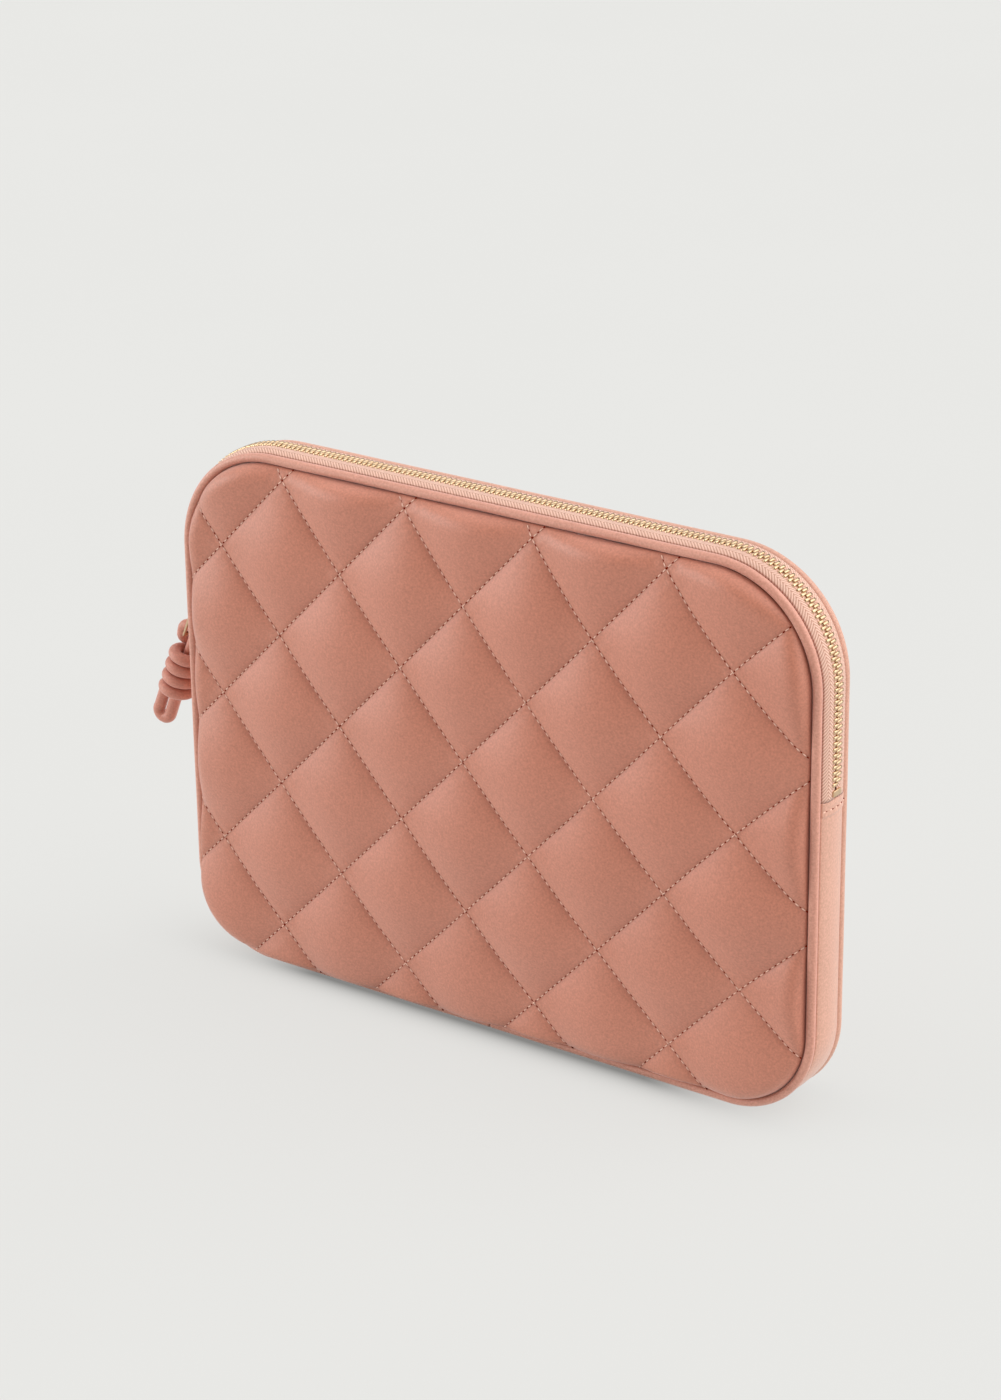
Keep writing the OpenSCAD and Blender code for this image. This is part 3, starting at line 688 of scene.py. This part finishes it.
# %% Gusset lining and board
def gusset_cloth():
    s = np.arange(zip_s, -zip_s - 2, -4.0)
    across = np.array([-8.35, 0, 8.35, 8.35, 0, -8.35])
    out = np.array([-1.25, -1.25, -1.25, -1.75, -1.7, -1.75])
    x, z = along_edge(np.clip(s, -zip_s, zip_s)[:, None], out)
    rows = np.stack([x, np.broadcast_to(across, x.shape), z], 2)
    piece = new_piece("gusset_lining_cloth", skin(rows), lining_weave)
    2 * zip_s * MM
    return piece


gusset_lining = gusset_cloth()
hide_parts("gusset_lining")
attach(gusset_lining, "sleeve")
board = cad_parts["gusset_stiffener"]
for slot in board.material_slots:
    slot.material = grey_board
print("board slots:", len(board.material_slots))

# %% [markdown]
# ## Zip tapes
# A tape is woven, sewn into the seam beside the piping and gripped by the teeth along its other edge. Its
# row of points lies level near the teeth and dips under the piping, and each point keeps how far along and
# across the tape it is and how far from the hem, for the herringbone and for a painted shade beside the
# piping and at the hem fold.

# %% Both tapes
def tape(name, side):
    across, out = np.array([
        (0.6, 2.9), (0.8, 3.2), (2.5, 3.42), (4, 3.42), (5.2, 3.36), (6.2, 3.15), (7.1, 2.8),
        (7.9, 2.35), (8.6, 1.8), (9.1, 1.25), (9.1, 0.7), (8.4, 1.15), (7.6, 1.7), (6.8, 2.15),
        (6.0, 2.45), (5.1, 2.65), (4, 2.75), (2.5, 2.75), (0.8, 2.6),
    ]).T
    s = np.append(np.arange(zip_s + 0.05, edge_length - zip_s, 2.5), edge_length - zip_s - 0.05)
    x, z = along_edge(s[:, None], out)
    rows = np.stack([x, np.broadcast_to(side * across, x.shape), z], 2)
    from_hem = np.minimum(s - zip_s, edge_length - zip_s - s)
    lay = np.stack(np.broadcast_arrays(s[:, None], across - 3.15, from_hem[:, None]), 2).reshape(-1, 3)
    piece = new_piece(name, skin(rows), herringbone_tape, lay=lay)
    return piece


front_tape = tape("front_zip_tape", -1)
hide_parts("zip_tape_front", "zip_tape_front_ends")
bends_open(front_tape)
back_tape = tape("back_zip_tape", 1)
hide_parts("zip_tape_back")
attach(back_tape, "sleeve")

# %% [markdown]
# ## Teeth
# A metal zip has hundreds of equal teeth, pressed on the edge of each tape at an even pitch, the two rows
# half a pitch apart. This is what Geometry Nodes are for: one tooth, one path, and a tree that sets the tooth
# along the path. The tree turns each tooth so that its length lies along the zip and its top faces out.

# %% Helpers for node trees
def new_tree(name, inputs):
    tree = bpy.data.node_groups.new(name, "GeometryNodeTree")
    tree.interface.new_socket("Geometry", in_out="OUTPUT", socket_type="NodeSocketGeometry")
    tree.interface.new_socket("Geometry", in_out="INPUT", socket_type="NodeSocketGeometry")
    for label, kind in inputs.items():
        tree.interface.new_socket(label, in_out="INPUT", socket_type="NodeSocket" + kind)
    entry = tree.nodes.new("NodeGroupInput")
    return tree, {socket.name: Wire(socket) for socket in entry.outputs if socket.name}


def end_tree(tree, geometry):
    geometry.into(tree.nodes.new("NodeGroupOutput").inputs[0])
    return tree


def turn_to(along, outward):
    axes = {"primary_axis": "X", "secondary_axis": "Z"}
    return along.node("FunctionNodeAxesToRotation", axes, {"Primary Axis": along, "Secondary Axis": outward})


def grow(name, tree, lines, **inputs):
    points, edges = [], []
    for line in lines:
        edges += [(len(points) + k, len(points) + k + 1) for k in range(len(line) - 1)]
        points += (np.asarray(line) * MM).tolist()
    mesh = bpy.data.meshes.new(name + "_path")
    mesh.from_pydata(points, edges, [])
    base = bpy.data.objects.new(name + "_path", mesh)
    scene.collection.objects.link(base)
    modifier = base.modifiers.new("nodes", "NODES")
    modifier.node_group = tree
    for socket in tree.interface.items_tree:
        if socket.in_out == "INPUT" and socket.name.replace(" ", "_") in inputs:
            modifier[socket.identifier] = inputs[socket.name.replace(" ", "_")]
    graph = bpy.context.evaluated_depsgraph_get()
    made = bpy.data.meshes.new_from_object(base.evaluated_get(graph), depsgraph=graph)
    made.name = name
    for k in reversed(range(len(made.materials))):
        if made.materials[k] is None:
            made.materials.pop(index=k)
    bpy.data.objects.remove(base)
    piece = bpy.data.objects.new(name, made)
    scene.collection.objects.link(piece)
    print(name, "faces:", len(made.polygons), "materials:", [m.name for m in made.materials])
    return piece


print("tree helpers:", [helper.__name__ for helper in (new_tree, end_tree, turn_to, grow)])


# %% One tooth and its tree
def one_tooth():
    rows = []
    for y, wide, tall in (
        (-3.45, 0.5, 0.8), (-3.1, 0.76, 1.15), (-1.7, 0.78, 1.2), (-1.1, 0.6, 1.2),
        (-0.1, 0.6, 1.2), (0.6, 0.53, 1.05), (1.0, 0.33, 0.7),
    ):
        cut = 0.45 * wide
        quarter = [(wide, tall - cut), (wide - cut, tall)]
        upper = quarter + [(-a, b) for a, b in quarter[::-1]]
        rows.append([(a, y, b) for a, b in upper + [(-a, -b) for a, b in upper]])
    return new_piece("tooth_pattern", skin(np.array(rows)), pale_gold)


def teeth_tree():
    tree, given = new_tree("teeth_along_path", {
        "Count": "Int", "Facing": "Float", "Tooth": "Object", "Finish": "Material",
    })
    path = given["Geometry"]
    curve = path.node("GeometryNodeMeshToCurve", {}, {"Mesh": path})
    spots = path.node("GeometryNodeResampleCurve", {"mode": "COUNT"}, {"Curve": curve, "Count": given["Count"]})
    tangent = path.node("GeometryNodeInputTangent", {}, {})
    outward = path.node("ShaderNodeVectorMath", {"operation": "CROSS_PRODUCT"}, {0: tangent, 1: (0, 1, 0)})
    turn = turn_to(tangent.scale(given["Facing"]), outward)
    tooth = path.node("GeometryNodeObjectInfo", {}, {"Object": given["Tooth"]}, "Geometry")
    row = path.node("GeometryNodeInstanceOnPoints", {}, {"Points": spots, "Instance": tooth, "Rotation": turn})
    solid = path.node("GeometryNodeRealizeInstances", {}, {"Geometry": row})
    inputs = {"Geometry": solid, "Material": given["Finish"]}
    return end_tree(tree, path.node("GeometryNodeSetMaterial", {}, inputs))


tooth_pattern, tooth_tree = one_tooth(), teeth_tree()

# %% Both rows of teeth
zip_out, tooth_pitch, first_tooth = 3.1, 2.75, 12.7
zip_end = edge_length - zip_s
zip_line_s = np.unique(np.concatenate([edge_s, np.arange(zip_s, zip_end, 1.0), [zip_s, zip_end]]))
zip_line_s = zip_line_s[(zip_line_s >= zip_s) & (zip_line_s <= zip_end)]
zip_line_x, zip_line_z = along_edge(zip_line_s, zip_out)
zip_line_u = np.concatenate([[0], np.cumsum(np.hypot(np.diff(zip_line_x), np.diff(zip_line_z)))])
zip_len = zip_line_u[-1]


def zip_part(start, end):
    inside = zip_line_u[(zip_line_u > start) & (zip_line_u < end)]
    u = np.concatenate([[start], inside, [end]])
    x, z = np.interp(u, zip_line_u, zip_line_x), np.interp(u, zip_line_u, zip_line_z)
    return np.stack([x, np.zeros(len(u)), z], 1)


def teeth(name, first, facing):
    count = int((zip_len - 2 * tooth_pitch - first) / tooth_pitch) + 1
    line = zip_part(first, first + (count - 1) * tooth_pitch)
    piece = grow(name, tooth_tree, [line], Count=count, Facing=facing, Tooth=tooth_pattern, Finish=pale_gold)
    return piece


front_teeth = teeth("front_teeth", first_tooth, 1.0)
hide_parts(*("zip_teeth_front" + part for part in ("", "_left_run", "_left_end", "_right_end")))
bends_open(front_teeth)
back_teeth = teeth("back_teeth", first_tooth + tooth_pitch / 2, -1.0)
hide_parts("zip_teeth_back", "zip_teeth_back_left_run")
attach(back_teeth, "sleeve")
bpy.data.objects.remove(tooth_pattern)
print("zip length:", round(zip_len, 1))

# %% [markdown]
# ## Stops, slider and bail
# Small metal parts look real when their edges catch the light, so each is a cut-out plate with a narrow
# bevel. The slider has two plates held by a post, with flanges that steer the teeth, and a bail on top that
# carries the pull. They are drawn flat, along and across the zip, and then set on the left side of the sleeve.

# %% Cut-out plates
zip_x, slider_z = zip_line_x[-1], 167.5
metal_bevel = 0.22


def rounded(corners, r, steps=5):
    made = []
    for k, corner in enumerate(np.asarray(corners, float)):
        before, after = (np.asarray(corners[n % len(corners)]) - corner for n in (k - 1, k + 1))
        before, after = before / np.linalg.norm(before), after / np.linalg.norm(after)
        for t in np.linspace(0, 1, steps):
            made.append(corner + r * ((1 - t) ** 2 * before + t ** 2 * after))
    return made


def plate(corners, bottom, top):
    n = len(corners)
    points = [(a, b, h) for h in (bottom, top) for a, b in corners]
    walls = [(k, (k + 1) % n, n + (k + 1) % n, n + k) for k in range(n)]
    return np.array(points), [tuple(range(n)), tuple(range(n, 2 * n))] + walls


def on_left_side(shape):
    points = shape[0]
    return np.stack([-zip_x - points[:, 2], points[:, 1], slider_z + points[:, 0]], 1), shape[1]


print("slider at", round(-zip_x, 1), slider_z)


# %% Stops
def stop_block(z, y_low, y_high, side):
    half = tooth_pitch / 2
    corners = rounded([(-half, y_low), (half, y_low), (half, y_high), (-half, y_high)], 0.35, 3)
    points, faces = plate(corners, -1.2, 1.2)
    return np.stack([side * (zip_x + points[:, 2]), points[:, 1], z + points[:, 0]], 1), faces


stop_out, stop_in = 3.15, 1.95
top_z, bottom_z = zip_z + 1.5 * tooth_pitch - 0.3, zip_z + tooth_pitch
left_stops = together([stop_block(top_z, stop_in, stop_out, -1), stop_block(top_z, -stop_out, -stop_in, -1)])
right_stop = stop_block(bottom_z, -stop_out, stop_out, 1)
top_stops = new_piece("zip_top_clamps", left_stops, pale_gold, bevel=metal_bevel)
bottom_stop = new_piece("zip_bottom_clamp", right_stop, pale_gold, bevel=metal_bevel)
for piece, node in ((top_stops, "zip_top_stops"), (bottom_stop, "zip_bottom_stop")):
    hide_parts(node)
    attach(piece, "sleeve")


# %% Slider and bail
def slider_parts():
    shield = rounded([(-6, -5.45), (6, -4.45), (6, 4.45), (-6, 5.45)], 1.5)
    parts = [plate(shield, 1.5, 2.5), plate(shield, -2.5, -1.5)]
    for side in (-1, 1):
        flange = [(-5, side * 5.35), (5, side * 4.52), (5, side * 3.6), (-5, side * 4.4)]
        parts += [plate(flange, 0.65, 1.55), plate(flange, -1.55, -0.65)]
    post = [(-5.5, -0.6), (-3.5, -1.2), (-1.5, 0), (-3.5, 1.2), (-5.5, 0.6)]
    return together(parts + [plate(post, -1.55, 1.55)])


def arch_line(foot, r):
    bend = [(0.65 + r * math.cos(a), 4.9 + r * math.sin(a)) for a in np.linspace(0, 1.57, 6)]
    half = [(foot, 2.4), (foot, 4.2), *bend]
    return half + [(-a, b) for a, b in half[::-1]]


def bail_arch():
    lines = zip(arch_line(2.45, 1.8), arch_line(1.25, 0.6))
    rows = [[(a, -1.3, b), (a, 1.3, b), (c, 1.3, d), (c, -1.3, d)] for (a, b), (c, d) in lines]
    return skin(np.array(rows))


slider = new_piece("slider_shell", on_left_side(slider_parts()), pale_gold, bevel=metal_bevel)
bail = new_piece("slider_arch", on_left_side(bail_arch()), pale_gold, bevel=0.2)
for piece, node in ((slider, "slider_body"), (bail, "slider_bail")):
    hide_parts(node)
    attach(piece, "zip_slider")

# %% [markdown]
# ## The pull
# A wire link hangs in the bail. A leather cord is looped over it and tied round itself: it runs down beside
# its own core, winds round it, hangs out below as a small loop and goes back up into the knot. The route is
# written as a path, and a round row of points follows it, turned as little as possible from step to step.

# %% A round wire along a path
def tube(path, r, sides, closed=False):
    path = np.asarray(path, float)
    if closed:
        tangents = np.roll(path, -1, 0) - np.roll(path, 1, 0)
    else:
        tangents = np.gradient(path, axis=0)
    tangents /= np.linalg.norm(tangents, axis=1)[:, None]
    normal = np.array([0.0, 1.0, 0.0])
    if abs(tangents[0] @ normal) > 0.9:
        normal = np.array([0.0, 0.0, 1.0])
    turn = np.linspace(0, 2 * math.pi, sides, endpoint=False)
    rows = []
    for point, tangent in zip(path, tangents):
        normal = normal - (normal @ tangent) * tangent
        normal /= np.linalg.norm(normal)
        side = np.cross(tangent, normal)
        rows.append(point + r * (np.cos(turn)[:, None] * normal + np.sin(turn)[:, None] * side))
    return np.array(rows)


lean = math.radians(22)
down = np.array([-math.sin(lean), 0, -math.cos(lean)])
outward = np.array([-math.cos(lean), 0, math.sin(lean)])
sideways = np.array([0.0, 1.0, 0.0])
pivot = np.array([-179.9, 0, 167.25])
print("knot axis:", down.round(3))

# %% Wire link
cord_r, link_r, bight_r, wrap_r, strap_l = 3.0, 0.7, 3.75, 7.2, 3.4
wrap_first, wrap_pitch, turn_in, turns, tail_l, core_gap = 3.3, 6.7, 5.6, 4, 20, 3.36
pull_gap, pull_back, pull_drop = 0.5, 3.0, 18.4
knot_side = edge_w / 2 + band_out + band_bow + hem_t + pull_gap
knot_x = -knot_side - (wrap_r + cord_r) * math.cos(lean) + wrap_first * math.sin(lean)
knot_top = np.array([knot_x, pull_back, pivot[2] - pull_drop])
link_low = knot_top - strap_l * down + bight_r * outward


def wire_link():
    long = np.linalg.norm(link_low - pivot)
    along = (link_low - pivot) / long
    half, bend = 4.1, 1.05
    across = sideways - (sideways @ along) * along
    across /= np.linalg.norm(across)
    loop = []
    for a, b, start in ((half, 0, 270), (half, long, 0), (-half, long, 90), (-half, 0, 180)):
        ca, cb = a - math.copysign(bend, a), bend if b == 0 else long - bend
        for t in np.radians(np.linspace(start, start + 90, 9)):
            loop.append(pivot + (ca + bend * math.cos(t)) * across + (cb + bend * math.sin(t)) * along)
    return skin(tube(loop, link_r, 12, closed=True), round_path=True)


link = new_piece("wire_link", wire_link(), pale_gold)
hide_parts("pull_link")
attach(link, "pull")


# %% Knotted cord
def in_knot(s, r, a):
    return knot_top + s * down + r * (math.cos(a) * outward + math.sin(a) * sideways)


def cord_path():
    quarter, half = np.radians(np.arange(7.5, 91, 7.5)), np.radians(np.arange(7.5, 181, 7.5))
    bend = turn_in / wrap_r
    last = wrap_first + wrap_pitch * (turns - bend / math.pi)
    end = 2 * math.pi * turns - bend
    tail = last + tail_l - bight_r
    core = (wrap_first + last) / 2
    path = [in_knot(s, 0, 0) for s in np.linspace(core - core_gap, -strap_l, 14)]
    path += [in_knot(-strap_l - bight_r * math.sin(a), bight_r * (1 - math.cos(a)), 0) for a in half]
    path += [in_knot(s, wrap_r, 0) for s in np.linspace(-strap_l, wrap_first - turn_in, 6)[1:]]
    path += [
        in_knot(wrap_first - turn_in * (1 - math.sin(a)), wrap_r, bend * (1 - math.cos(a))) for a in quarter
    ]
    winding = np.linspace(bend, end, 48 * turns)[1:]
    path += [in_knot(wrap_first + wrap_pitch * (a - bend) / (2 * math.pi), wrap_r, a) for a in winding]
    path += [in_knot(last + turn_in * (1 - math.cos(a)), wrap_r, end + bend * math.sin(a)) for a in quarter]
    path += [in_knot(s, wrap_r, 0) for s in np.linspace(last + turn_in, tail, 7)[1:]]
    path += [in_knot(tail + bight_r * math.sin(a), bight_r * (1 + math.cos(a)), 0) for a in half]
    return np.array(path + [in_knot(s, 0, 0) for s in np.linspace(tail, core + core_gap, 14)[1:]])


route = cord_path()
knot = new_piece("knotted_cord", skin(tube(route, cord_r, 18)), cord_leather)
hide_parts("pull_cord")
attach(knot, "pull")
print("cord length in mm:", round(float(np.linalg.norm(np.diff(route, axis=0), axis=1).sum()), 1))

# %% [markdown]
# ## Stitches
# A lockstitch seam shows a short pale dash, then a dark dip where the thread goes down, drawn as a small dark
# ball of painted shade. There are nearly 1,800 of them, so they are grown by a tree: it cuts the seam lines at
# an even pitch, and sets a dash on each point and a needle hole of painted shade half a pitch further on.

# %% Stitch tree
def stitch_tree():
    tree, given = new_tree("stitches_along_lines", {
        "Pitch": "Float", "Dash": "Vector", "Hole": "Vector", "Outward": "Vector",
        "Thread finish": "Material", "Hole finish": "Material",
    })
    path = given["Geometry"]
    curve = path.node("GeometryNodeMeshToCurve", {}, {"Mesh": path})
    inputs = {"Curve": curve, "Length": given["Pitch"]}
    spots = path.node("GeometryNodeResampleCurve", {"mode": "LENGTH"}, inputs)
    tangent = path.node("GeometryNodeInputTangent", {}, {})
    turn = turn_to(tangent, given["Outward"])
    step, sink = tangent.scale(given["Pitch"] * 0.5), given["Outward"].scale(-0.2 * MM)
    shift = path.node("ShaderNodeVectorMath", {"operation": "ADD"}, {0: step, 1: sink})
    moved = path.node("GeometryNodeSetPosition", {}, {"Geometry": spots, "Offset": shift})
    made = []
    for points, size, finish, rings in ((spots, "Dash", "Thread finish", 5), (moved, "Hole", "Hole finish", 4)):
        ball = path.node("GeometryNodeMeshUVSphere", {}, {"Segments": 6, "Rings": rings, "Radius": 1.0})
        ball = path.node("GeometryNodeTransform", {}, {"Geometry": ball, "Rotation": (0, math.pi / 2, 0)})
        ball = path.node("GeometryNodeTransform", {}, {"Geometry": ball, "Scale": given[size]})
        ball = path.node("GeometryNodeSetShadeSmooth", {}, {"Geometry": ball})
        inputs = {"Points": points, "Instance": ball, "Rotation": turn}
        row = path.node("GeometryNodeInstanceOnPoints", {}, inputs)
        solid = path.node("GeometryNodeRealizeInstances", {}, {"Geometry": row})
        made.append(path.node("GeometryNodeSetMaterial", {}, {"Geometry": solid, "Material": given[finish]}))
    joined = path.node("GeometryNodeJoinGeometry", {}, {"Geometry": made[0]})
    made[1].into(joined.socket.node.inputs[0])
    return end_tree(tree, joined)


sewing_tree = stitch_tree()
print("tree:", sewing_tree.name)


# %% Quilting stitches
def quilt_lines(side):
    lines = []
    t = np.arange(-5, 5, 0.02)
    for m in range(-5, 6):
        for p, q in ((np.full_like(t, m), t), (t, np.full_like(t, m))):
            x, z = seam_to_place(p, q)
            inside = edge_inset(x, z) > piping_r + 1.2
            if inside.sum() > 8:
                x, z = x[inside], z[inside]
                y = side * (seam_y + dome(x, z) + 0.2)
                x, z = settled(x, z)
                lines.append(np.stack([x, y, z], 1))
    return lines


def stitches(name, lines, outward):
    dash, hole = ([v * MM for v in size] for size in ((1.0, 0.3, 0.3), (0.55, 0.4, 0.3)))
    return grow(
        name, sewing_tree, lines, Pitch=3.6 * MM, Dash=dash, Hole=hole, Outward=outward,
        # The hole finish is the painted shade of the needle holes.
        Thread_finish=pale_thread, Hole_finish=needle_hole,
    )


front_stitches = stitches("front_stitches", quilt_lines(-1), (0, -1, 0))
bends_open(front_stitches)
back_stitches = stitches("back_stitches", quilt_lines(1), (0, 1, 0))
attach(back_stitches, "sleeve")

# %% Hem stitches
for side, name in ((-1, "left_hem_stitches"), (1, "right_hem_stitches")):
    y = np.linspace(-8, 8, 17)
    x = side * (edge_w / 2 + band_out + hem_t - 0.1 + band_bow * (1 - (y / band_half) ** 2))
    line = np.stack([x, y, np.full_like(y, zip_z - hem_seam)], 1)
    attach(stitches(name, [line], (side, 0, 0)), "sleeve")

# %% [markdown]
# ## Floor and light
# The picture is a plain studio shot: a pale seamless floor, a soft low light from the left that models the
# puffs, a second one from the right that brightens the zip side, and a wide one from above. Wide suns light
# the floor evenly however far it runs, which a lamp close by would not. The floor glows a little and carries
# a painted contact shadow along the foot of the sleeve, and the sky is as pale as the floor where the camera
# sees it.

# %% Floor
def floor_finish():
    material, shader, place = new_finish(
        "pale_floor", Specular_IOR_Level=0.0, Roughness=1.0, Emission_Strength=0.85,
    )
    x, y = place.axis(0), place.axis(1)
    # Painted contact shadow: the floor is darkened along the foot of the sleeve, in emission and base colour
    # alike.
    beside_x = (place.math("ABSOLUTE", x + 8 * MM) - 95 * MM).at_least(0.0) / (32 * MM)
    beside_y = (place.math("ABSOLUTE", y) - 15 * MM).at_least(0.0) / (7 * MM)
    away = place.math("SQRT", beside_x * beside_x + beside_y * beside_y)
    shade = 0.66 * place.math("EXPONENT", -1.0 * place.math("POWER", away, 1.2))
    white = place.noise(3, 2).between((0.785, 0.785, 0.765), (0.805, 0.805, 0.785))
    shaded = shade.between(white, (0, 0, 0))
    shaded.into(shader["Emission Color"])
    dimmed = {0: 0.86, 6: shaded, 7: (0, 0, 0, 1)}
    shaded.node("ShaderNodeMix", {"data_type": "RGBA"}, dimmed, 2).into(shader["Base Color"])
    return material


floor_half = 9000
floor_points = floor_half * np.array([(-1, -1, 0), (1, -1, 0), (1, 1, 0), (-1, 1, 0)])
floor = new_piece("floor", (floor_points, [(0, 1, 2, 3)]), floor_finish())


# %% Lights
def soft_sun(name, direction, strength, spread, colour):
    light = bpy.data.lights.new(name, "SUN")
    light.energy, light.angle, light.color = strength, math.radians(spread), colour
    sun = bpy.data.objects.new(name, light)
    sun.rotation_euler = Vector(direction).to_track_quat("Z", "Y").to_euler()
    scene.collection.objects.link(sun)


window_white, lamp_white = (1.0, 0.985, 0.96), (1.0, 1.0, 1.0)
soft_sun("left_window", (-0.85, -0.45, 0.08), 2.65, 50, window_white)
soft_sun("right_window", (0.8, 0.35, 0.4), 2.7, 90, window_white)
soft_sun("ceiling", (0.0, 0.25, 1.0), 1.65, 105, lamp_white)
world = bpy.data.worlds.new("studio")
world.use_nodes = True
seen = Wire(world.node_tree.nodes.new("ShaderNodeLightPath").outputs["Is Camera Ray"])
glow = world.node_tree.nodes["Background"].inputs
(0.2 + 0.6 * seen).into(glow["Strength"])
glow["Color"].default_value = (1, 1, 0.975, 1)
scene.world = world
scene.view_settings.view_transform = "Standard"

# %% [markdown]
